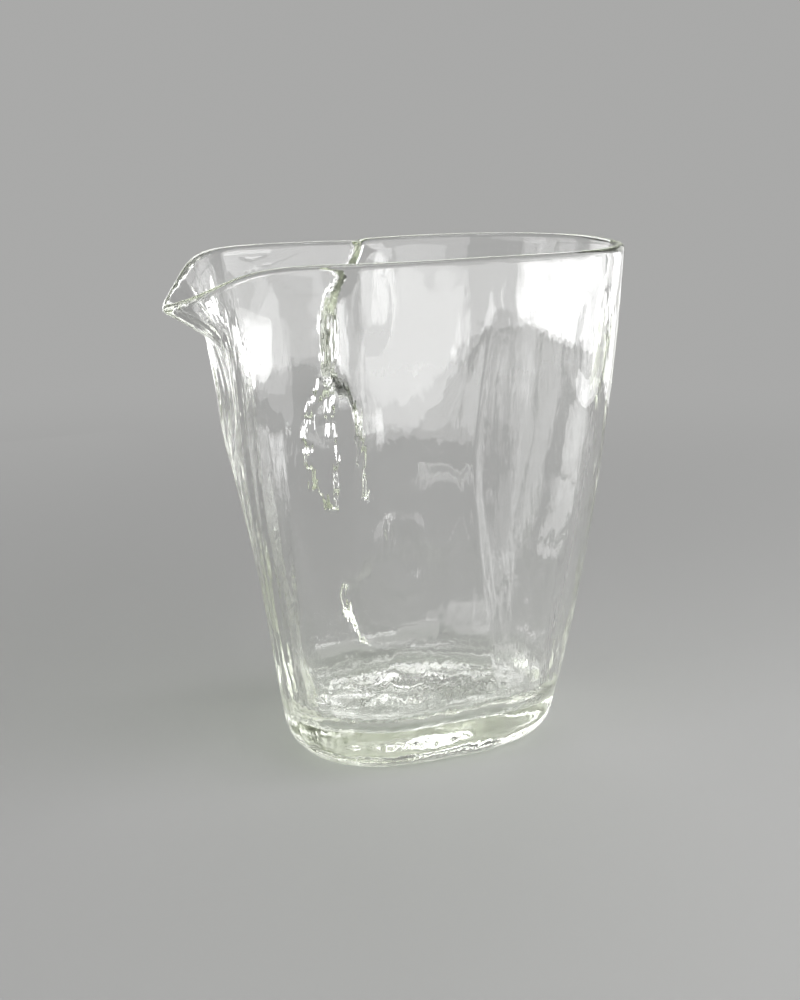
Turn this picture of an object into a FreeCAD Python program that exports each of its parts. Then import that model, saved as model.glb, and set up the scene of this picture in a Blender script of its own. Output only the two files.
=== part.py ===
import FreeCAD, Part
import math
import os

from FreeCAD import Vector

# A small mouth-blown glass pouring jug with a pinched oval body, a thick base
# and a spout drawn out of one end of the rim. Millimetres. The origin is the
# centre of the foot, on the table. +Z is up, the spout points towards -X, the
# end opposite the spout is +X, and the thumb dent faces -Y.

os.makedirs("parts", exist_ok=True)
doc = FreeCAD.newDocument("glass_jug")

# Driving sizes
SIZES = [
    ("height", 101.1, "table to the top of the rim"),
    # The oval plan, at the table, half way up and at the rim
    ("foot_half_length", 26.4, "spout end to far end at the table, halved"),
    ("foot_half_width", 26.6, "front to back at the table, halved"),
    ("waist_half_length", 38.0, "spout end to far end half way up, halved"),
    ("waist_half_width", 31.3, "front to back half way up, halved"),
    ("mouth_half_length", 43.9, "spout end to far end at the rim, halved"),
    ("mouth_half_width", 30.0, "front to back at the rim, halved"),
    ("plan_fullness", 2.35, "exponent of the oval: 2 is an ellipse, more is squarer"),
    ("lean_along", 1.0, "how far the rim sits towards the spout"),
    ("lean_across", 0.6, "how far the rim sits towards the front"),
    ("heel_radius", 6.2, "outside edge of the foot"),
    # Glass thickness
    ("lip_thickness", 2.2, "wall at the rim"),
    ("wall_thickness", 2.7, "wall half way up"),
    ("low_wall_thickness", 3.8, "wall just over the base"),
    ("base_thickness", 8.0, "solid glass under the inside floor"),
    ("inner_heel_radius", 6.0, "inside corner between floor and wall"),
    # The fold pinched into the back wall
    ("pinch_direction", 117.0, "where the fold lies in the upper wall, in degrees from +X"),
    ("pinch_depth", 7.4, "how far it is pressed in"),
    ("pinch_least", 0.25, "share of that depth left far below"),
    ("pinch_sharp_side", 11.0, "degrees over which it rises on the far side"),
    ("pinch_soft_side", 27.0, "degrees over which it rises on the spout side"),
    ("pinch_height", 72.0, "where it is deepest"),
    ("pinch_spread", 42.0, "how far up and down it fades"),
    ("pinch_rim_direction", 98.0, "where the fold meets the rim"),
    ("pinch_rim_length", 11.0, "height over which it turns to there"),
    ("pinch_low_direction", 102.0, "where it runs on below its bend"),
    ("pinch_bend_height", 66.5, "the middle of that bend"),
    ("pinch_bend_length", 3.5, "how softly it bends"),
    # The soft thumb dent in the front wall
    ("dent_direction", -72.0, "where the dent lies"),
    ("dent_depth", 4.9, "how far it is pressed in"),
    ("dent_width", 32.0, "degrees over which it fades"),
    ("dent_height", 56.0, "where it is deepest"),
    ("dent_spread", 32.0, "how far up and down it fades"),
    # The soft press in the back wall, beside the fold
    ("back_dent_direction", 70.0, "where the press lies"),
    ("back_dent_depth", 3.5, "how far it is pressed in"),
    ("back_dent_width", 30.0, "degrees over which it fades"),
    ("back_dent_height", 55.0, "where it is deepest"),
    ("back_dent_spread", 24.0, "how far up and down it fades"),
    # The hollow low on the spout's side, a little behind it
    ("hollow_direction", 162.0, "where the hollow lies"),
    ("hollow_depth", 4.8, "how far it is pressed in"),
    ("hollow_width", 27.0, "degrees over which it fades"),
    ("hollow_height", 33.5, "where it is deepest"),
    ("hollow_spread", 26.0, "how far up and down it fades"),
    # The press under the spout, where a tool held the wall as it was drawn out
    ("throat_direction", 180.5, "where the press lies"),
    ("throat_depth", 3.5, "how far it is pressed in"),
    ("throat_width", 9.0, "degrees over which it fades"),
    ("throat_height", 73.0, "where it is deepest"),
    ("throat_spread", 12.0, "how far up and down it fades"),
    # The full lobe in front of the spout, and the slight one behind
    ("front_lobe_direction", -143.0, "where the front lobe lies"),
    ("front_lobe_depth", 6.0, "how far it stands out at the table; it fades out at the rim"),
    ("front_lobe_width", 34.0, "degrees over which it fades"),
    ("back_lobe_direction", 45.0, "where the back lobe lies"),
    ("back_lobe_depth", 2.7, "how far it stands out"),
    ("back_lobe_width", 30.0, "degrees over which it fades"),
    # The spout
    ("spout_direction", 180.5, "where the spout points"),
    ("spout_reach", 7.3, "how far the tip stands out of the oval"),
    ("spout_flare", 1.7, "exponent of the reach: more keeps the spout's root steeper"),
    ("spout_drop", 9.5, "how far the tip lies under the rim"),
    ("spout_length", 17.0, "height of the spout's root under the rim"),
    ("root_width", 6.0, "degrees over which the spout fades, at its root"),
    ("tip_width", 10.4, "degrees over which the spout fades, at the rim"),
    ("dip_width_back", 13.8, "degrees over which the rim dips, behind the tip"),
    ("dip_width_front", 18.2, "degrees over which the rim dips, in front of it"),
    ("dip_fullness", 1.75, "exponent of the dip: more has steeper ends"),
    # The uneven rim
    ("rim_rise", 0.7, "how much higher the rim stands on one side"),
    ("rim_rise_direction", -60.0, "the side where it stands higher"),
    # The punt left by the rod under the foot
    ("punt_depth", 1.2, "how far it is hollowed at the middle"),
    ("punt_radius", 15.0, "its edge"),
]

sheet = doc.addObject("Spreadsheet::Sheet", "sizes")
for row, (name, value, meaning) in enumerate(SIZES, start=1):
    sheet.set(f"A{row}", meaning)
    sheet.set(f"B{row}", str(value))
    sheet.setAlias(f"B{row}", name)
doc.recompute()


def size(name):
    """A size from the sheet."""
    return float(sheet.get(name))


# How finely the glass is drawn: control points around the jug, up its wall,
# round each corner of the base and over the lip.
POINTS_AROUND = 80
POINTS_UP = 20
POINTS_HEEL = 5
POINTS_LIP = 5
UPWARD_CROWDING = 1.5
FLAT_EDGE = 0.95
DEGREE = 3
FULL_TURN = 360.0
SMALL_TURN = 0.5
SMALL_SHARE = 0.002
FLAT = 0.01


def turn_between(direction, other):
    """Signed angle from other to direction, within half a turn."""
    half = FULL_TURN / 2
    return (direction - other + half) % FULL_TURN - half


def fade(distance, width):
    """One at no distance, falling smoothly to nothing past the width."""
    return math.exp(-((distance / width) ** 2))


def through(low, middle, high, share):
    """Value at a share of the height, on the curve through three values."""
    return (
        low * (1 - share) * (1 - 2 * share)
        + 4 * middle * share * (1 - share)
        + high * share * (2 * share - 1)
    )


def oval_radius(direction, share):
    """The plain flaring oval, before anything is pressed into it."""
    along = through(size("foot_half_length"), size("waist_half_length"), size("mouth_half_length"), share)
    across = through(size("foot_half_width"), size("waist_half_width"), size("mouth_half_width"), share)
    power = size("plan_fullness")
    turn = math.radians(direction)
    lengthways = (abs(math.cos(turn)) / along) ** power
    widthways = (abs(math.sin(turn)) / across) ** power
    return (lengthways + widthways) ** (-1 / power)


def pinch_line(level):
    """Direction of the fold at a level: it turns at the rim and at its bend."""
    line = size("pinch_direction")
    rim_turn = size("pinch_rim_direction") - line
    low_turn = size("pinch_low_direction") - line
    below = (1 + math.tanh((size("pinch_bend_height") - level) / size("pinch_bend_length"))) / 2
    return line + rim_turn * fade(level - size("height"), size("pinch_rim_length")) + low_turn * below


def pinch(direction, level):
    """The back fold, steep on its far side."""
    turn = turn_between(direction, pinch_line(level))
    width = size("pinch_sharp_side") if turn < 0 else size("pinch_soft_side")
    least = size("pinch_least")
    upright = least + (1 - least) * fade(level - size("pinch_height"), size("pinch_spread"))
    return size("pinch_depth") * fade(turn, width) * upright


def press(name, direction, level):
    """A round press in the wall, from the sizes that start with its name."""
    turn = turn_between(direction, size(name + "_direction"))
    rise = level - size(name + "_height")
    return size(name + "_depth") * fade(turn, size(name + "_width")) * fade(rise, size(name + "_spread"))


def wall_radius(direction, level):
    """Outside of the body at a direction in degrees and a level over the table."""
    share = level / size("height")
    front_turn = turn_between(direction, size("front_lobe_direction"))
    front_lobe = size("front_lobe_depth") * (1 - share)
    back_turn = turn_between(direction, size("back_lobe_direction"))
    return (
        oval_radius(direction, share)
        - pinch(direction, level)
        - press("dent", direction, level)
        - press("back_dent", direction, level)
        - press("hollow", direction, level)
        - press("throat", direction, level)
        + front_lobe * fade(front_turn, size("front_lobe_width"))
        + size("back_lobe_depth") * fade(back_turn, size("back_lobe_width"))
    )


def outside(direction, share):
    """Outside of the wall, from the top of the heel (0) to the edge of the lip (1)."""
    edge = size("height") - size("lip_thickness") / 2 - size("rim_rise")
    level = size("heel_radius") + (edge - size("heel_radius")) * share
    radius = wall_radius(direction, level)
    drawn = max(0.0, 1 - (edge - level) / size("spout_length"))
    turn = turn_between(direction, size("spout_direction"))
    width = size("root_width") + (size("tip_width") - size("root_width")) * drawn
    radius += size("spout_reach") * drawn ** size("spout_flare") / (1 + (turn / width) ** 2)
    dip_width = size("dip_width_back") if turn < 0 else size("dip_width_front")
    level -= size("spout_drop") * drawn * math.exp(-(abs(turn / dip_width) ** size("dip_fullness")))
    level += size("rim_rise") * drawn * math.cos(math.radians(direction - size("rim_rise_direction")))
    angle = math.radians(direction)
    return Vector(
        radius * math.cos(angle) - size("lean_along") * share,
        radius * math.sin(angle) - size("lean_across") * share,
        level,
    )


def upward(direction, share):
    """Unit tangent of the outside, up the wall."""
    step = outside(direction, share + SMALL_SHARE) - outside(direction, share - SMALL_SHARE)
    return step.normalize()


def outward(direction, share):
    """Unit normal of the outside."""
    around = outside(direction + SMALL_TURN, share) - outside(direction - SMALL_TURN, share)
    return around.cross(upward(direction, share)).normalize()


def thickness(share):
    """Glass thickness up the wall."""
    return through(size("low_wall_thickness"), size("wall_thickness"), size("lip_thickness"), share)


def inside(direction, share):
    """Inside of the wall, square to the outside."""
    return outside(direction, share) - outward(direction, share) * thickness(share)


def outer_heel(direction, turn):
    """Rounded edge of the foot, from the table (0) to the wall (quarter turn)."""
    level = size("heel_radius") * (1 - math.cos(turn))
    radius = wall_radius(direction, level) - size("heel_radius") * (1 - math.sin(turn))
    angle = math.radians(direction)
    return Vector(radius * math.cos(angle), radius * math.sin(angle), level)


def inner_heel(direction, turn):
    """Rounded inside corner, from the floor (0) to the wall (quarter turn)."""
    start = inside(direction, inner_start)
    radius = math.hypot(start.x, start.y) - size("inner_heel_radius") * (1 - math.sin(turn))
    level = size("base_thickness") + size("inner_heel_radius") * (1 - math.cos(turn))
    angle = math.atan2(start.y, start.x)
    blend = level + (start.z - size("base_thickness") - size("inner_heel_radius")) * math.sin(turn)
    return Vector(radius * math.cos(angle), radius * math.sin(angle), blend)


def lip(direction, turn):
    """Fire-polished lip, half round from the outside (0) to the inside (half turn)."""
    middle = (outside(direction, 1) + inside(direction, 1)) / 2
    radius = size("lip_thickness") / 2
    return (
        middle
        + outward(direction, 1) * (radius * math.cos(turn))
        + upward(direction, 1) * (radius * math.sin(turn))
    )


# The share of the wall at which the inside corner of the base begins
wall_start = size("base_thickness") + size("inner_heel_radius")
wall_span = size("height") - size("lip_thickness") / 2 - size("rim_rise") - size("heel_radius")
inner_start = (wall_start - size("heel_radius")) / wall_span


def section(direction):
    """One upright section of the glass: foot, outside, lip, inside and floor."""
    quarter = math.pi / 2
    rise = [1 - (1 - step / POINTS_UP) ** UPWARD_CROWDING for step in range(POINTS_UP + 1)]
    foot = outer_heel(direction, 0)
    points = [foot * FLAT_EDGE, foot]
    points += [outer_heel(direction, quarter * step / POINTS_HEEL) for step in range(1, POINTS_HEEL)]
    points += [outside(direction, share) for share in rise]
    points += [lip(direction, math.pi * step / POINTS_LIP) for step in range(1, POINTS_LIP)]
    points += [inside(direction, inner_start + (1 - inner_start) * share) for share in reversed(rise)]
    points += [inner_heel(direction, quarter * step / POINTS_HEEL) for step in range(POINTS_HEEL - 1, 0, -1)]
    floor_edge = inner_heel(direction, 0)
    axis = Vector(0, 0, floor_edge.z)
    points += [floor_edge, axis + (floor_edge - axis) * FLAT_EDGE]
    return points


def drawn_out(before, point, after):
    """Moves a control point outwards, so that the surface itself meets the point."""
    return point - (before - point * 2 + after) / 6


def skin():
    """The whole blown surface, closed around the jug and open at foot and floor."""
    net = [section(FULL_TURN * step / POINTS_AROUND) for step in range(POINTS_AROUND)]
    last = len(net[0]) - 1
    rows = []
    for column in net:
        inner = [drawn_out(*column[step - 1 : step + 2]) for step in range(2, last - 1)]
        rows.append(column[:2] + inner + column[last - 1 :])
    poles = []
    for step, column in enumerate(rows):
        before = rows[step - 1]
        after = rows[(step + 1) % POINTS_AROUND]
        poles.append([drawn_out(*trio) for trio in zip(before, column, after)])
    around_knots = list(range(POINTS_AROUND + 1))
    section_knots = list(range(last - DEGREE + 2))
    surface = Part.BSplineSurface()
    surface.buildFromPolesMultsKnots(
        poles,
        [1] * len(around_knots),
        [DEGREE + 1] + [1] * (len(section_knots) - 2) + [DEGREE + 1],
        around_knots,
        section_knots,
        True,
        False,
        DEGREE,
        DEGREE,
    )
    return surface.toShape()


def flat_face(edge):
    """A flat face that closes the skin at one of its round edges."""
    return Part.Face(Part.Wire([edge]))


# The blown form: the skin, closed by the flat foot and the flat inside floor
blown_skin = skin()
round_edges = [edge for edge in blown_skin.Edges if edge.BoundBox.ZLength < FLAT]
shell = Part.Shell([blown_skin] + [flat_face(edge) for edge in round_edges])
shell.sewShape()
blown_form = doc.addObject("Part::Feature", "blown_form")
blown_form.Label = "blown_form"
blown_form.Shape = Part.Solid(Part.Shell(shell.Faces))
blown_form.Placement = FreeCAD.Placement()

# The punt: a shallow round hollow, so the jug stands on a ring
punt = doc.addObject("Part::Sphere", "punt")
punt.Label = "punt"
punt.setExpression("Radius", "(sizes.punt_radius ^ 2 + sizes.punt_depth ^ 2) / (2 * sizes.punt_depth)")
punt.setExpression("Placement.Base.z", "sizes.punt_depth * 1 mm - Radius")

glass_jug = doc.addObject("Part::Cut", "glass_jug")
glass_jug.Label = "glass_jug"
glass_jug.Base = blown_form
glass_jug.Tool = punt
glass_jug.Placement = FreeCAD.Placement()

doc.recompute()

# Every object has to be sound before the jug is written
for item in doc.Objects:
    if "Invalid" in item.State or "Error" in item.State:
        raise RuntimeError(f"{item.Label} could not be built: {item.State}")
for item in (blown_form, glass_jug):
    if item.Shape.isNull() or not item.Shape.isValid() or len(item.Shape.Solids) != 1:
        raise RuntimeError(f"{item.Label} is not one sound solid")

glass_jug.Shape.exportStep("parts/glass_jug.step")

box = glass_jug.Shape.BoundBox
print("length, width, height:", round(box.XLength, 2), round(box.YLength, 2), round(box.ZLength, 2))
print("lowest point:", round(box.ZMin, 4))
print("glass volume, cubic millimetres:", round(glass_jug.Shape.Volume, 1))
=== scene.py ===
import math

import bpy
import numpy as np
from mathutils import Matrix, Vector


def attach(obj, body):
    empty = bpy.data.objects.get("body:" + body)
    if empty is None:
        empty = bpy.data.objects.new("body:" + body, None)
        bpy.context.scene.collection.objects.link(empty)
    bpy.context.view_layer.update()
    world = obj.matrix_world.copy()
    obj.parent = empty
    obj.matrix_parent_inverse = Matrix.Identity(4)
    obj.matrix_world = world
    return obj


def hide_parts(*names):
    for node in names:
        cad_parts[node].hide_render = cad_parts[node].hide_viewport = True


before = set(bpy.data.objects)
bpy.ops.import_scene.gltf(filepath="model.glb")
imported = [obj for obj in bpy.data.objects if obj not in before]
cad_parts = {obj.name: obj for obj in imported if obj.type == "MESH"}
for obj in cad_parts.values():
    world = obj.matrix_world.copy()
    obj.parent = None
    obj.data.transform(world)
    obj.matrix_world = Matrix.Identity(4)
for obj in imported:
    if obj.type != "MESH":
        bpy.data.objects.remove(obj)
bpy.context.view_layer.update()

# The jug: one gather of clear glass, blown, pinched and dented by hand while it
# was soft, with a thick base and a spout drawn out of one end of the rim. It is
# a single piece, and the rim is fire-polished.

# Sizes are in millimetres, and directions in degrees from +X, with the spout
# near 180. A share says how far up the wall a point lies, from 0 to 1.
MM = 0.001
HEIGHT = 101.1
FOOT = (26.4, 26.6)
WAIST = (38.0, 31.3)
MOUTH = (43.9, 30.0)
FULLNESS = 2.35
LEAN = (1.0, 0.6)
HEEL = 6.2
LIP = 2.2
WALL = 2.7
LOW_WALL = 3.8
BASE = 8.0
INNER_HEEL = 6.0
RIM_RISE = 0.7
RIM_RISE_SIDE = -60.0
PUNT_DEPTH = 1.2
PUNT_RADIUS = 15.0
QUARTER = math.pi / 2


def turn_between(direction, other):
    """Signed degrees from other to direction."""
    return (direction - other + 180.0) % 360.0 - 180.0


def fade(distance, width):
    """One at no distance, falling smoothly to nothing."""
    return np.exp(-((distance / width) ** 2))


def ramp(value, start, end):
    """Nothing up to the start, rising evenly to one at the end."""
    return np.clip((value - start) / (end - start), 0, 1)


def through(low, middle, high, share):
    """The smooth curve through three values, at a share of the height."""
    ends = low * (1 - share) * (1 - 2 * share) + high * share * (2 * share - 1)
    return ends + 4 * middle * share * (1 - share)


# The fold in the back wall is soft low down and a sharp crease higher up. Its
# line turns where it meets the rim, and again at its bend. The sharp side is
# wider low down and narrower at the rim, by the two factors.
FOLD_LINE = 117.0
FOLD_LINE_AT_RIM = 98.0
FOLD_RIM_LENGTH = 11.0
FOLD_LINE_LOW = 102.0
FOLD_BEND = 66.5
FOLD_BEND_LENGTH = 3.5
FOLD_DEPTH = 7.4
FOLD_DEEPEST = 72.0
FOLD_SPREAD = 42.0
FOLD_LEAST = 0.25
SHARP_SIDE = 8.0
SHARP_SIDE_LOW_DOWN = 2.2
SHARP_SIDE_AT_RIM = 0.65
SOFT_SIDE = 27.0
CREASE_STARTS, CREASE_FULL = 34.0, 70.0
RIM_CREASE_STARTS, RIM_CREASE_FULL = 78.0, 88.0
CREASE_STEEPNESS = 1.15
CREASE_POWER = 1.15
CREASE_ROUNDING = 0.12


def fold_line(level):
    """Direction of the fold at a level."""
    below = (1 + np.tanh((FOLD_BEND - level) / FOLD_BEND_LENGTH)) / 2
    at_rim = fade(level - HEIGHT, FOLD_RIM_LENGTH)
    rim_turn = (FOLD_LINE_AT_RIM - FOLD_LINE) * at_rim
    return FOLD_LINE + rim_turn + (FOLD_LINE_LOW - FOLD_LINE) * below


def fold(direction, level):
    """How far the fold is pressed in."""
    turn = turn_between(direction, fold_line(level))
    crisp = ramp(level, CREASE_STARTS, CREASE_FULL)
    near_rim = ramp(level, RIM_CREASE_STARTS, RIM_CREASE_FULL)
    wider = SHARP_SIDE_LOW_DOWN + (1 - SHARP_SIDE_LOW_DOWN) * crisp
    narrower = (1 - SHARP_SIDE_AT_RIM) * near_rim
    reach = abs(turn) / np.where(turn < 0, SHARP_SIDE * (wider - narrower), SOFT_SIDE)
    rounded = np.sqrt(reach**2 + CREASE_ROUNDING**2) - CREASE_ROUNDING
    crease = np.exp(-CREASE_STEEPNESS * rounded**CREASE_POWER)
    upright = FOLD_LEAST + (1 - FOLD_LEAST) * fade(level - FOLD_DEEPEST, FOLD_SPREAD)
    return FOLD_DEPTH * (crisp * crease + (1 - crisp) * fade(reach, 1.0)) * upright


# Soft presses in the wall: direction, depth, width in degrees, height and the
# distance over which they fade upwards and downwards
THUMB_DENT = (-72.0, 4.9, 32.0, 56.0, 32.0)
BACK_DENT = (70.0, 3.5, 30.0, 55.0, 24.0)
LOW_HOLLOW = (162.0, 4.8, 27.0, 33.5, 26.0)
THROAT = (180.5, 3.5, 9.0, 73.0, 12.0)
# Full lobes: direction, how far they stand out and width in degrees
FRONT_LOBE = (-143.0, 6.0, 34.0)
BACK_LOBE = (45.0, 2.7, 30.0)


def press(direction, level, centre, depth, width, height, spread):
    """A round press of the wall."""
    return depth * fade(turn_between(direction, centre), width) * fade(level - height, spread)


def lobe(direction, centre, rise, width):
    """A side where the wall stands out."""
    return rise * fade(turn_between(direction, centre), width)


def wall_radius(direction, level):
    """Outside of the body."""
    share = level / HEIGHT
    along = through(FOOT[0], WAIST[0], MOUTH[0], share)
    across = through(FOOT[1], WAIST[1], MOUTH[1], share)
    turn = np.radians(direction)
    lengthways = (abs(np.cos(turn)) / along) ** FULLNESS
    widthways = (abs(np.sin(turn)) / across) ** FULLNESS
    radius = (lengthways + widthways) ** (-1 / FULLNESS) - fold(direction, level)
    for sizes in (THUMB_DENT, BACK_DENT, LOW_HOLLOW, THROAT):
        radius = radius - press(direction, level, *sizes)
    return radius + (1 - share) * lobe(direction, *FRONT_LOBE) + lobe(direction, *BACK_LOBE)


# The spout: how far it is drawn out and down, and the width of its root, its
# tip and the dip of the rim behind and in front of it
SPOUT_SIDE = 180.5
SPOUT_REACH = 7.3
SPOUT_FLARE = 1.7
SPOUT_DROP = 9.5
SPOUT_LENGTH = 17.0
ROOT_WIDTH = 6.0
TIP_WIDTH = 10.4
DIP_BACK = 13.8
DIP_FRONT = 18.2
DIP_FULLNESS = 1.75
# Where the wall ends under the lip, where the inner heel meets the wall, and the
# small steps by which the slope of the wall is measured
EDGE = HEIGHT - LIP / 2 - RIM_RISE
INNER_START = (BASE + INNER_HEEL - HEEL) / (EDGE - HEEL)
SMALL_SHARE = 0.002
SMALL_TURN = 0.5


def outside(direction, share):
    """Outside of the wall, from the heel (0) to the lip (1)."""
    level = HEEL + (EDGE - HEEL) * share
    radius = wall_radius(direction, level)
    drawn = np.maximum(0.0, 1 - (EDGE - level) / SPOUT_LENGTH)
    turn = turn_between(direction, SPOUT_SIDE)
    width = ROOT_WIDTH + (TIP_WIDTH - ROOT_WIDTH) * drawn
    radius = radius + SPOUT_REACH * drawn**SPOUT_FLARE / (1 + (turn / width) ** 2)
    dip = abs(turn / np.where(turn < 0, DIP_BACK, DIP_FRONT))
    level = level - SPOUT_DROP * drawn * np.exp(-(dip**DIP_FULLNESS))
    level = level + RIM_RISE * drawn * np.cos(np.radians(direction - RIM_RISE_SIDE))
    angle = np.radians(direction)
    along = radius * np.cos(angle) - LEAN[0] * share
    across = radius * np.sin(angle) - LEAN[1] * share
    return np.stack([along, across, level], -1)


def unit(vectors):
    """The same directions, one long."""
    return vectors / np.linalg.norm(vectors, axis=-1, keepdims=True)


def upward(direction, share):
    """Direction up the wall."""
    return unit(outside(direction, share + SMALL_SHARE) - outside(direction, share - SMALL_SHARE))


def outward(direction, share):
    """Direction square out of the wall."""
    beside = outside(direction + SMALL_TURN, share) - outside(direction - SMALL_TURN, share)
    return unit(np.cross(beside, upward(direction, share)))


def inside(direction, share):
    """Inside of the wall, square to the outside."""
    thickness = through(LOW_WALL, WALL, LIP, share)
    return outside(direction, share) - outward(direction, share) * thickness[..., None]


def outer_heel(direction, turn):
    """Rounded edge of the foot, from the table (0) to the wall (a quarter turn)."""
    level = HEEL * (1 - np.cos(turn)) + 0 * direction
    radius = wall_radius(direction, level) - HEEL * (1 - np.sin(turn))
    angle = np.radians(direction)
    return np.stack([radius * np.cos(angle), radius * np.sin(angle), level], -1)


def inner_heel(direction, turn):
    """Rounded inside corner, from the inner floor (0) to the wall (a quarter turn)."""
    start = inside(direction, 0 * direction + INNER_START)
    radius = np.hypot(start[..., 0], start[..., 1]) - INNER_HEEL * (1 - np.sin(turn))
    angle = np.arctan2(start[..., 1], start[..., 0])
    to_wall = (start[..., 2] - BASE - INNER_HEEL) * np.sin(turn)
    level = BASE + INNER_HEEL * (1 - np.cos(turn)) + to_wall
    return np.stack([radius * np.cos(angle), radius * np.sin(angle), level], -1)


def lip(direction, turn):
    """Half-round lip, from the outside (0) to the inside (a half turn)."""
    whole = 0 * direction + 1.0
    middle = (outside(direction, whole) + inside(direction, whole)) / 2
    out = outward(direction, whole) * np.cos(turn)
    return middle + (LIP / 2) * (out + upward(direction, whole) * np.sin(turn))


# What the tools left on the outer face. The marks are on that face alone, so
# that they bend what is seen through them.
MM_PER_DEGREE = 0.52
DEEPEST_MARK = 2.0
# The long leaf under the fold, where the tips of the jacks closed
LEAF_FOOT, LEAF_TIP = 41.0, 72.0
LEAF_LINE = 108.5
LEAF_TURN = 7.0
LEAF_CURVE = 0.6
LEAF_STEM = 0.6
LEAF_HALF_WIDTH = 5.6
LEAF_DEPTH = 1.6
LEAF_ENDS = 5.0
LEAF_EDGES = (0.36, 0.38)
# The waves of its border: size in degrees, turn in a millimetre, and start
LEAF_WAVES = ((0.7, 1.1, 0.0), (0.3, 2.3, 1.0))
# Lumps of glass left standing: direction, height, width to the left and to the
# right in degrees, height each way and rise
LUMPS = (
    (113.6, 66.6, 4.0, 1.6, 3.2, 1.9),
    (117.6, 61.6, 3.8, 1.6, 2.6, 1.8),
    (111.6, 60.6, 3.6, 1.6, 2.8, 1.8),
    (75.0, 33.5, 3.4, 2.4, 3.2, 1.0),
    (71.0, 30.0, 2.8, 2.0, 2.6, 0.8),
    (67.0, 26.5, 3.0, 2.0, 3.2, 1.0),
)
# Narrow ridges: directions and heights along each of them, width and rise
BESIDE_LEAF = ((108, 73), (104, 70), (98, 66.5), (94, 62), (92, 54), (92, 44))
SWEEP = ((103, 22), (98, 16), (92, 11.5), (82, 8.8), (70, 8.2), (57, 8))
HOOK = ((63, 49.5), (55, 49), (46, 46.5), (44, 43), (46, 37), (54, 33))
RIDGES = ((BESIDE_LEAF, 0.62, 0.65), (SWEEP, 1.9, 1.8), (HOOK, 1.0, 0.5))
# Oval presses: direction, height, width in degrees, height each way, depth (a
# minus stands out) and how steep the border is
TOOL_PRESSES = (
    (57.0, 38.5, 15.0, 9.5, 1.0, 9.0),
    (74.0, 28.5, 13.0, 9.5, 0.9, 9.0),
    (76.0, 19.0, 27.0, 10.5, -0.9, 8.0),
    (319.5, 82.0, 7.0, 11.0, 0.8, 4.0),
    (84.0, 85.0, 6.5, 9.0, 0.6, 5.0),
)
# Long soft edges between two flats. The front one sways: direction, sway and the
# height that it sways in. The back one turns near the foot: direction, turn,
# height and spread. Then the depth, width, height and spread of each.
FRONT_LINE = (277.0, 4.0, 13.0)
FRONT_EDGE = (0.5, 3.0, 58.0, 30.0)
BACK_LINE = (38.0, 9.0, 15.0, 12.0)
BACK_EDGE = (0.5, 2.5, 50.0, 34.0)
# Fine lines where the glass was drawn, a coarse set that sways and a fine one
# that slants: how many would go round the jug, how much and in what height. The
# part of the wall that has them is given as a soft press.
COARSE_LINES, COARSE_SWAY, SWAY_HEIGHT = 80.0, 0.9, 9.0
FINE_LINES, FINE_STRENGTH, SLANT_HEIGHT = 131.0, 0.6, 14.0
DRAWN_PART = (178.0, 0.13, 32.0, 52.0, 36.0)


def leaf_mark(direction, level):
    """The leaf, with an uneven border."""
    share = np.clip((level - LEAF_FOOT) / (LEAF_TIP - LEAF_FOOT), 0.001, 0.999)
    middle = LEAF_LINE + LEAF_TURN * np.sin(QUARTER * share**LEAF_CURVE)
    belly = np.sin(math.pi * share)
    wobble = sum(size * np.sin(level * pace + start) for size, pace, start in LEAF_WAVES)
    half_width = LEAF_STEM + LEAF_HALF_WIDTH * belly + wobble
    turn = turn_between(direction, middle)
    softness = np.where(turn > 0, *LEAF_EDGES)
    border = 1 / (1 + np.exp((abs(turn) - half_width) / softness))
    return LEAF_DEPTH * border * np.clip(LEAF_ENDS * belly, 0, 1)


def lump(direction, level, centre, height, left, right, tall, rise):
    """A lump that rises slowly from one side and steeply from the other."""
    turn = turn_between(direction, centre)
    reach = np.hypot(turn / np.where(turn > 0, left, right), (level - height) / tall)
    return -rise * np.exp(-(reach**2))


def ridge(direction, level, path, width, rise):
    """A ridge along a path on the wall, by the distance to its nearest stretch."""
    nearest = np.full(np.shape(direction), 1000.0)
    for (start, low), (end, high) in zip(path, path[1:]):
        across, along = (end - start) * MM_PER_DEGREE, high - low
        right, up = (direction - start) * MM_PER_DEGREE, level - low
        reached = np.clip((right * across + up * along) / (across**2 + along**2), 0, 1)
        nearest = np.minimum(nearest, np.hypot(right - reached * across, up - reached * along))
    return -rise * fade(nearest, width)


def tool_press(direction, level, centre, height, width, tall, depth, edge):
    """An oval press of a tool or thumb."""
    reach = np.hypot(turn_between(direction, centre) / width, (level - height) / tall)
    return depth * np.exp(-(reach**edge))


def facets(direction, level):
    """A long soft edge between two flats, on the front wall and on the back one."""
    line, sway, sway_height = FRONT_LINE
    front = press(direction, level, line + sway * np.sin(level / sway_height), *FRONT_EDGE)
    line, turn, height, spread = BACK_LINE
    back = press(direction, level, line - turn * fade(level - height, spread), *BACK_EDGE)
    return front + back


def drawn_lines(direction, level):
    """Fine lines down the wall under the spout, where the glass was drawn."""
    sway = COARSE_SWAY * np.sin(level / SWAY_HEIGHT)
    coarse = np.sin(np.radians(direction * COARSE_LINES) + sway)
    fine = FINE_STRENGTH * np.sin(np.radians(direction * FINE_LINES) - level / SLANT_HEIGHT)
    return (coarse + fine) * press(direction, level, *DRAWN_PART)


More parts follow.
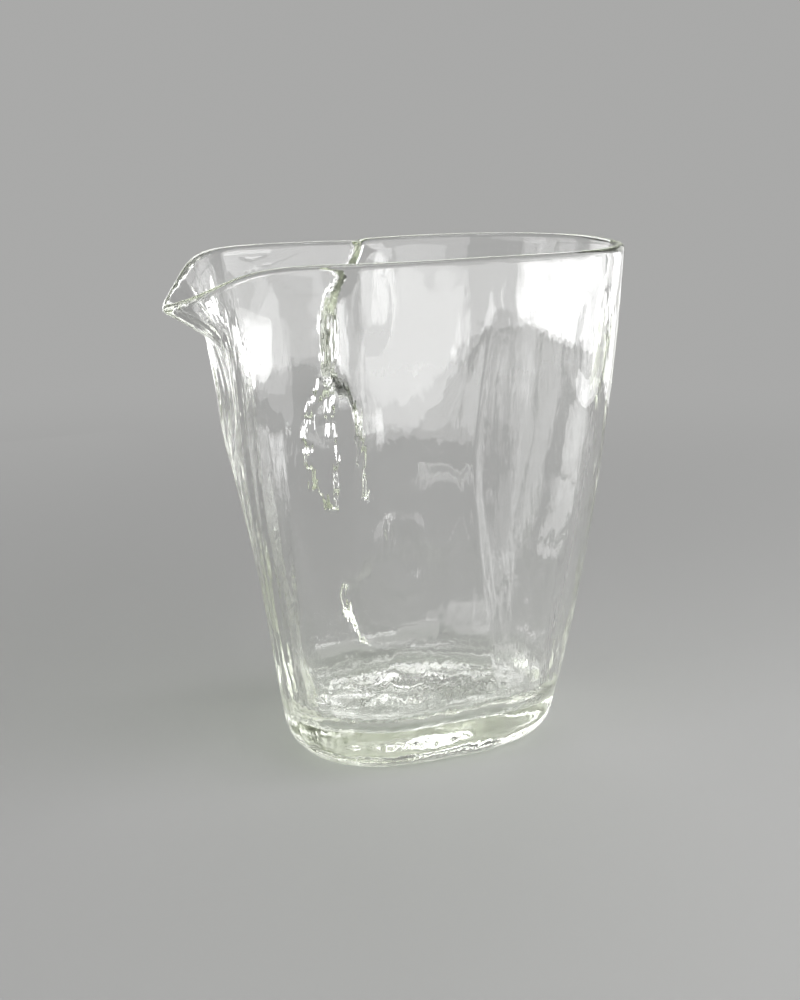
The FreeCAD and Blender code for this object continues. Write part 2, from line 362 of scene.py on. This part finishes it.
def tool_marks(direction, level):
    """How deep the outer face lies under the plain one, for all the marks together."""
    marks = leaf_mark(direction, level)
    for mark, every in ((lump, LUMPS), (ridge, RIDGES), (tool_press, TOOL_PRESSES)):
        for sizes in every:
            marks = marks + mark(direction, level, *sizes)
    marks = marks + facets(direction, level) + drawn_lines(direction, level)
    return DEEPEST_MARK * np.tanh(marks / DEEPEST_MARK) * ramp(level, HEEL, HEEL + 1.0)


# Beside the upper fold, where the tool held the glass, the ripples fade out: how
# much, how far from the fold's line, over what width and from what height
CALM = 0.9
CALM_BESIDE = 10.0
CALM_WIDTH = 14.0
CALM_STARTS, CALM_FULL = 66.0, 72.0


def calm_by_fold(direction, level):
    """How much of the ripples is left."""
    beside = turn_between(direction, fold_line(level) - CALM_BESIDE)
    return 1 - CALM * fade(beside, CALM_WIDTH) * ramp(level, CALM_STARTS, CALM_FULL)


# The points go round the jug in rings, from the middle of the foot up the
# outside, over the lip and down to the middle of the inner floor. They crowd
# together at the spout and at the fold, and the wall's rings near its marks:
# how many more there are, where, and over what distance.
AROUND = 408
FOOT_RINGS = 15
HEEL_RINGS = 10
WALL_RINGS = 112
LIP_RINGS = 14
INNER_RINGS = 60
FLOOR_RINGS = 14
SPOUT_CROWD = (4.0, SPOUT_SIDE, 10.0)
FOLD_CROWD = (2.2, 112.0, 15.0)
MARKS_CROWD = (0.8, 60.0, 15.0)
# The inner floor rises towards the back
FLOOR_RISE = 0.0022
RISE_STARTS = 4.0
RISE_ACROSS, RISE_ALONG = 0.9, -0.45

even = np.arange(0.0, 360.0, 0.05)
crowding = np.ones_like(even)
for more, centre, width in (SPOUT_CROWD, FOLD_CROWD):
    crowding = crowding + more * fade(turn_between(even, centre), width)
crowding = np.cumsum(crowding)
around = np.interp(np.arange(AROUND) / AROUND * crowding[-1], crowding, even)
more, height, spread = MARKS_CROWD
climb = np.linspace(0.0, 1.0, 2000)
closeness = np.cumsum(1 + more * fade(climb * (EDGE - HEEL) + HEEL - height, spread))
closeness = (closeness - closeness[0]) / (closeness[-1] - closeness[0])

rings = []
finish_of_rings = {"inside": [], "worked": [], "hammered": []}


def add_ring(ring, inner, worked, hammered):
    """Adds a ring, and says how far in, how rippled and how hammered it is."""
    rings.append(ring)
    for values, value in zip(finish_of_rings.values(), (inner, worked, hammered)):
        values.append(value + 0 * around)


def wall_finish(share, levels):
    """How rippled and how hammered the wall is: calm at the lip, hammered low down."""
    rippled = min(1.0, 8 * (1 - share)) * calm_by_fold(around, levels)
    return rippled, 0.5 * max(0.0, 1 - 5 * share)


foot_edge = outer_heel(around, 0.0)
for step in range(1, FOOT_RINGS):
    ring = foot_edge * (step / FOOT_RINGS)
    reach = np.hypot(ring[:, 0], ring[:, 1])
    ring[:, 2] = PUNT_DEPTH * np.clip(1 - (reach / PUNT_RADIUS) ** 2, 0, 1)
    add_ring(ring, 0.0, 0.0, 1.0)
for step in range(HEEL_RINGS):
    # The ripples begin round the heel, and the hammering fades
    ring = outer_heel(around, QUARTER * step / HEEL_RINGS)
    add_ring(ring, 0.0, 0.2 + 0.08 * step, 1.0 - 0.05 * step)
for step in range(WALL_RINGS + 1):
    share = float(np.interp(step / WALL_RINGS, closeness, climb))
    whole = share + 0 * around
    levels = HEEL + (EDGE - HEEL) * whole
    ring = outside(around, whole)
    ring = ring - outward(around, whole) * tool_marks(around, levels)[:, None]
    add_ring(ring, 0.0, *wall_finish(share, levels))
for step in range(1, LIP_RINGS):
    add_ring(lip(around, math.pi * step / LIP_RINGS), step / LIP_RINGS, 0.0, 0.0)
for step in range(INNER_RINGS, -1, -1):
    share = step / INNER_RINGS
    whole = INNER_START + (1 - INNER_START) * share + 0 * around
    levels = HEEL + (EDGE - HEEL) * whole
    add_ring(inside(around, whole), 1.0, *wall_finish(share, levels))
for step in range(HEEL_RINGS - 1, -1, -1):
    add_ring(inner_heel(around, QUARTER * step / HEEL_RINGS), 1.0, 0.5, 1.0)
floor_edge = inner_heel(around, 0.0)
for step in range(FLOOR_RINGS - 1, 0, -1):
    share = step / FLOOR_RINGS
    ring = floor_edge * share
    uphill = RISE_STARTS + ring[:, 1] * RISE_ACROSS + ring[:, 0] * RISE_ALONG
    ring[:, 2] = BASE + FLOOR_RISE * np.clip(uphill, 0, None) ** 2 * (1 - share**6)
    add_ring(ring, 1.0, 0.3, 1.0)

points = np.concatenate([[[0.0, 0.0, PUNT_DEPTH]]] + rings + [[[0.0, 0.0, BASE]]]) * MM
last = len(points) - 1
faces = []
for here in range(AROUND):
    after = (here + 1) % AROUND
    faces.append((0, 1 + after, 1 + here))
    for step in range(len(rings) - 1):
        low = 1 + step * AROUND
        high = low + AROUND
        faces.append((low + here, low + after, high + after, high + here))
    top = 1 + (len(rings) - 1) * AROUND
    faces.append((top + here, top + after, last))
blown = bpy.data.meshes.new("blown_glass")
blown.from_pydata(points.tolist(), [], faces)
blown.update()
# The middles of the foot and of the inner floor have values of their own
at_middles = {"inside": (0.0, 1.0), "worked": (0.0, 0.3), "hammered": (1.0, 1.0)}
for name, values in finish_of_rings.items():
    foot_middle, floor_middle = at_middles[name]
    values = np.concatenate([[foot_middle]] + values + [[floor_middle]]).astype(np.float32)
    blown.attributes.new(name, "FLOAT", "POINT").data.foreach_set("value", values)

# Clear soda glass: a faint yellow-green that shows only where it is thick, fine
# waves left by the blowing, a light haze from handling and a worn foot
clear_glass = bpy.data.materials.new("clear_glass")
clear_glass.use_nodes = True
nodes = clear_glass.node_tree.nodes
links = clear_glass.node_tree.links
glass = nodes["Principled BSDF"]
glass.inputs["Base Color"].default_value = (1.0, 1.0, 1.0, 1.0)
glass.inputs["IOR"].default_value = 1.5
glass.inputs["Transmission Weight"].default_value = 1.0
on_glass = nodes.new("ShaderNodeTexCoord")


def graded(tree, source, low, high, at_low, at_high, course="LINEAR"):
    """A value that goes from one number to another as its source rises."""
    node = tree.nodes.new("ShaderNodeMapRange")
    node.interpolation_type = course
    node.inputs["From Min"].default_value = low
    node.inputs["From Max"].default_value = high
    node.inputs["To Min"].default_value = at_low
    node.inputs["To Max"].default_value = at_high
    tree.links.new(source, node.inputs["Value"])
    return node.outputs["Result"]


# Fine waves, drawn out upwards, deepest on the hammered base
along_the_pull = nodes.new("ShaderNodeMapping")
along_the_pull.inputs["Scale"].default_value = (1.0, 1.0, 0.3)
links.new(on_glass.outputs["Object"], along_the_pull.inputs["Vector"])
fine_waves = nodes.new("ShaderNodeTexNoise")
fine_waves.inputs["Scale"].default_value = 240.0
fine_waves.inputs["Detail"].default_value = 3.0
links.new(along_the_pull.outputs["Vector"], fine_waves.inputs["Vector"])
on_wall = nodes.new("ShaderNodeAttribute")
on_wall.attribute_name = "worked"
on_base = nodes.new("ShaderNodeAttribute")
on_base.attribute_name = "hammered"
how_rough = nodes.new("ShaderNodeMath")
how_rough.operation = "MULTIPLY_ADD"
how_rough.inputs[1].default_value = 3.0
links.new(on_base.outputs["Fac"], how_rough.inputs[0])
links.new(on_wall.outputs["Fac"], how_rough.inputs[2])
wave_height = nodes.new("ShaderNodeMath")
wave_height.operation = "MULTIPLY"
links.new(fine_waves.outputs["Fac"], wave_height.inputs[0])
links.new(how_rough.outputs[0], wave_height.inputs[1])
waves = nodes.new("ShaderNodeBump")
waves.inputs["Strength"].default_value = 0.35
waves.inputs["Distance"].default_value = 0.0004
links.new(wave_height.outputs[0], waves.inputs["Height"])
links.new(waves.outputs["Normal"], glass.inputs["Normal"])

# The foot is worn within a millimetre or so of the table, and the rest has a
# patchy haze
where_on_glass = nodes.new("ShaderNodeSeparateXYZ")
links.new(on_glass.outputs["Object"], where_on_glass.inputs[0])
handling = nodes.new("ShaderNodeTexNoise")
handling.inputs["Scale"].default_value = 38.0
handling.inputs["Detail"].default_value = 4.0
links.new(on_glass.outputs["Object"], handling.inputs["Vector"])
WORN, WORN_HEIGHTS = 0.03, (0.4 * MM, 1.6 * MM)
HAZY, HAZE_PATCHES = 0.03, (0.45, 0.75)
height_on_glass = where_on_glass.outputs["Z"]
foot_wear = graded(clear_glass.node_tree, height_on_glass, *WORN_HEIGHTS, WORN, 0.0)
haze = graded(clear_glass.node_tree, handling.outputs["Fac"], *HAZE_PATCHES, 0.0, HAZY)
roughness = nodes.new("ShaderNodeMath")
roughness.operation = "MAXIMUM"
links.new(foot_wear, roughness.inputs[0])
links.new(haze, roughness.inputs[1])
links.new(roughness.outputs[0], glass.inputs["Roughness"])

# The tint inside the glass
tint = nodes.new("ShaderNodeVolumeAbsorption")
tint.inputs["Color"].default_value = (0.70, 0.76, 0.56, 1.0)
tint.inputs["Density"].default_value = 7.0
links.new(tint.outputs["Volume"], nodes["Material Output"].inputs["Volume"])

# Light from the lamps passes straight through the glass, a little dimmed, so that
# the jug throws the light shadow of clear glass
lamp_light = nodes.new("ShaderNodeBsdfTransparent")
lamp_light.inputs["Color"].default_value = (0.72, 0.75, 0.70, 1.0)
path = nodes.new("ShaderNodeLightPath")
let_light_through = nodes.new("ShaderNodeMixShader")
links.new(path.outputs["Is Shadow Ray"], let_light_through.inputs[0])
links.new(glass.outputs[0], let_light_through.inputs[1])
links.new(lamp_light.outputs[0], let_light_through.inputs[2])
links.new(let_light_through.outputs[0], nodes["Material Output"].inputs["Surface"])

# Light crosses many faces of the thick base and the fold before it comes out
cycles = bpy.context.scene.cycles
cycles.max_bounces = 32
cycles.transmission_bounces = 32
cycles.glossy_bounces = 32

# Hand-worked surface: long soft ripples on the wall and a hammered base
tree = bpy.data.node_groups.new("hand_worked_surface", "GeometryNodeTree")
tree.interface.new_socket("Geometry", in_out="OUTPUT", socket_type="NodeSocketGeometry")
tree.interface.new_socket("Geometry", in_out="INPUT", socket_type="NodeSocketGeometry")
for name in ("Ripple Depth", "Ripple Scale", "Hammer Depth", "Hammer Scale", "Seed"):
    tree.interface.new_socket(name, in_out="INPUT", socket_type="NodeSocketFloat")
tree.interface.new_socket("Glass", in_out="INPUT", socket_type="NodeSocketMaterial")


def place(kind, **settings):
    """A new node of the tree."""
    node = tree.nodes.new(kind)
    for name, value in settings.items():
        setattr(node, name, value)
    return node


def worked_out(operation, first, second):
    """The result of a sum on two numbers or outputs."""
    node = place("ShaderNodeMath", operation=operation)
    for socket, value in zip(node.inputs, (first, second)):
        if isinstance(value, (int, float)):
            socket.default_value = value
        else:
            tree.links.new(value, socket)
    return node.outputs[0]


def named(name):
    """A value stored on the points."""
    node = place("GeometryNodeInputNamedAttribute", data_type="FLOAT")
    node.inputs["Name"].default_value = name
    return node.outputs["Attribute"]


asked = place("NodeGroupInput")
result = place("NodeGroupOutput")
where = place("GeometryNodeInputPosition")
facing = place("GeometryNodeInputNormal")
stretch = place("ShaderNodeVectorMath", operation="MULTIPLY")
stretch.inputs[1].default_value = (1.0, 1.0, 0.2)
tree.links.new(where.outputs[0], stretch.inputs[0])
drag = place("ShaderNodeVectorMath", operation="MULTIPLY")
drag.inputs[1].default_value = (0.4, 1.0, 1.0)
tree.links.new(where.outputs[0], drag.inputs[0])
# The inner face has ripples of its own
inner_shift = worked_out("MULTIPLY", named("inside"), 7.3)
seed_shift = worked_out("ADD", asked.outputs["Seed"], inner_shift)


def relief(vector, kind, detail, middle, part):
    """Noise around a middle value, times its depth, where that part of the glass has it."""
    node = place("ShaderNodeTexNoise", noise_dimensions="4D")
    node.inputs["Detail"].default_value = detail
    tree.links.new(vector.outputs[0], node.inputs["Vector"])
    tree.links.new(asked.outputs[kind + " Scale"], node.inputs["Scale"])
    tree.links.new(seed_shift, node.inputs["W"])
    raised = worked_out("SUBTRACT", node.outputs["Fac"], middle)
    raised = worked_out("MULTIPLY", raised, asked.outputs[kind + " Depth"])
    return worked_out("MULTIPLY", raised, named(part))


# The ripples go in and out of the wall; the hammering only goes in, so that the
# foot stays on the table
ripple = relief(stretch, "Ripple", detail=2.0, middle=0.5, part="worked")
hammer = relief(drag, "Hammer", detail=3.0, middle=0.28, part="hammered")
push = worked_out("MULTIPLY", worked_out("ADD", ripple, hammer), -1.0)
scaled = place("ShaderNodeVectorMath", operation="SCALE")
tree.links.new(facing.outputs[0], scaled.inputs[0])
tree.links.new(push, scaled.inputs["Scale"])
move = place("GeometryNodeSetPosition")
smooth = place("GeometryNodeSetShadeSmooth")
realize = place("GeometryNodeRealizeInstances")
finish = place("GeometryNodeSetMaterial")
tree.links.new(asked.outputs["Geometry"], move.inputs["Geometry"])
tree.links.new(scaled.outputs[0], move.inputs["Offset"])
tree.links.new(move.outputs[0], smooth.inputs["Geometry"])
tree.links.new(smooth.outputs[0], realize.inputs["Geometry"])
tree.links.new(realize.outputs[0], finish.inputs["Geometry"])
tree.links.new(asked.outputs["Glass"], finish.inputs["Material"])
tree.links.new(finish.outputs[0], result.inputs[0])

source = bpy.data.objects.new("blown_source", blown)
bpy.context.scene.collection.objects.link(source)
working = source.modifiers.new("hand_worked_surface", "NODES")
working.node_group = tree
for name, value in (
    ("Ripple Depth", 0.5 * MM),
    ("Ripple Scale", 90.0),
    ("Hammer Depth", 0.7 * MM),
    ("Hammer Scale", 260.0),
    ("Seed", 3.0),
    ("Glass", clear_glass),
):
    working[tree.interface.items_tree[name].identifier] = value
bpy.context.view_layer.update()
evaluated = source.evaluated_get(bpy.context.evaluated_depsgraph_get())
finished = bpy.data.meshes.new_from_object(evaluated)
source.modifiers.remove(working)
bpy.data.objects.remove(source)
jug = bpy.data.objects.new("jug", finished)
bpy.context.scene.collection.objects.link(jug)
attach(jug, "root")
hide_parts("glass_jug")

# The floor: plain pale paper, laid flat under the jug. It fades into the pale
# backdrop far from the jug, so that no line shows between them.

PALE = (0.40, 0.40, 0.395, 1.0)
FLOOR_RADIUS = 6.0
FADE_STARTS, FADE_ENDS = 0.10, 0.45

bpy.ops.mesh.primitive_circle_add(vertices=96, radius=FLOOR_RADIUS, fill_type="NGON")
floor = bpy.context.object
floor.name = "floor"
paper = bpy.data.materials.new("pale_paper")
paper.use_nodes = True
nodes = paper.node_tree.nodes
links = paper.node_tree.links
surface = nodes["Principled BSDF"]
surface.inputs["Base Color"].default_value = PALE
surface.inputs["Roughness"].default_value = 0.9
surface.inputs["Specular IOR Level"].default_value = 0.1
on_floor = nodes.new("ShaderNodeTexCoord")
distance = nodes.new("ShaderNodeVectorMath")
distance.operation = "LENGTH"
links.new(on_floor.outputs["Object"], distance.inputs[0])
far = graded(
    paper.node_tree, distance.outputs["Value"], FADE_STARTS, FADE_ENDS, 0.0, 1.0, "SMOOTHSTEP"
)
backdrop = nodes.new("ShaderNodeEmission")
backdrop.inputs["Color"].default_value = PALE
blend = nodes.new("ShaderNodeMixShader")
links.new(far, blend.inputs[0])
links.new(surface.outputs[0], blend.inputs[1])
links.new(backdrop.outputs[0], blend.inputs[2])
links.new(blend.outputs[0], nodes["Material Output"].inputs["Surface"])
floor.data.materials.append(paper)

# Soft studio light: a large window light in front on the right, a soft light at
# the left, a long strip overhead and a soft light high behind. Each has its
# place, the point that it faces, its width and height, and its brightness.


def soft_light(name, centre, aim, size, strength):
    """A rectangular soft light, which the camera itself doesn't see."""
    lamp = bpy.data.lights.new(name, "AREA")
    lamp.shape = "RECTANGLE"
    lamp.size = size[0]
    lamp.size_y = size[1]
    lamp.energy = strength * math.pi * size[0] * size[1]
    light = bpy.data.objects.new(name, lamp)
    bpy.context.scene.collection.objects.link(light)
    light.location = centre
    direction = Vector(aim) - Vector(centre)
    light.rotation_euler = direction.to_track_quat("-Z", "Y").to_euler()
    light.visible_camera = False
    return light


for name, centre, aim, size, strength in (
    ("window_light", (0.209, -0.268, 0.24), (0.0, 0.0, 0.24), (0.81, 0.46), 2.6),
    ("left_light", (-0.62, -0.36, 0.30), (0.0, 0.0, 0.30), (0.8, 0.5), 1.8),
    ("top_light", (0.0, -0.10, 0.90), (0.0, 0.0, 0.05), (0.70, 0.12), 6.0),
    ("back_light", (0.32, 0.80, 0.58), (0.0, 0.0, 0.05), (0.6, 0.40), 3.6),
):
    soft_light(name, centre, aim, size, strength)

# White cards stood close beside and behind the jug, as for a photograph of
# glass: they give its edges, marks and upper right wall their bright lines and
# patches, and light nothing else.

for name, centre, size, strength in (
    ("left_card", (-0.295, 0.04, 0.14), (0.42, 0.26), 1.9),
    ("right_card", (0.220, -0.137, 0.057), (0.22, 0.057), 4.2),
    ("far_left_card", (-0.059, 0.335, 0.10), (0.17, 0.20), 2.0),
    ("far_right_card", (0.294, 0.17, 0.09), (0.14, 0.18), 1.1),
):
    card = soft_light(name, centre, (0.0, 0.0, centre[2]), size, strength)
    card.visible_diffuse = False

# The room: as pale as the floor at eye level, so that the two meet unseen, and
# dim above, so that the lights stand out in the glass.

DIM = (0.09, 0.09, 0.09, 1.0)
DIMMING_STARTS, DIMMING_ENDS = 0.10, 0.45

room = bpy.data.worlds.new("studio")
bpy.context.scene.world = room
room.use_nodes = True
nodes = room.node_tree.nodes
links = room.node_tree.links
around_the_room = nodes.new("ShaderNodeTexCoord")
split = nodes.new("ShaderNodeSeparateXYZ")
links.new(around_the_room.outputs["Generated"], split.inputs[0])
height = graded(
    room.node_tree, split.outputs["Z"], DIMMING_STARTS, DIMMING_ENDS, 0.0, 1.0, "SMOOTHSTEP"
)
tone = nodes.new("ShaderNodeMix")
tone.data_type = "RGBA"
links.new(height, tone.inputs[0])
tone.inputs[6].default_value = PALE
tone.inputs[7].default_value = DIM
links.new(tone.outputs[2], nodes["Background"].inputs["Color"])

# The camera, at the photograph's viewing angle: a little above the rim, in
# front of the jug and to the left.

camera = bpy.data.objects.new("camera", bpy.data.cameras.new("camera"))
bpy.context.scene.collection.objects.link(camera)
camera.location = (-0.1534, -0.3716, 0.139)
camera.rotation_euler = (math.radians(77.3), 0.0, math.radians(-22.0))
camera.data.sensor_fit = "VERTICAL"
camera.data.sensor_height = 36.0
camera.data.lens = 72.0
camera.data.clip_start = 0.01
bpy.context.scene.camera = camera
bpy.context.scene.view_settings.view_transform = "Standard"
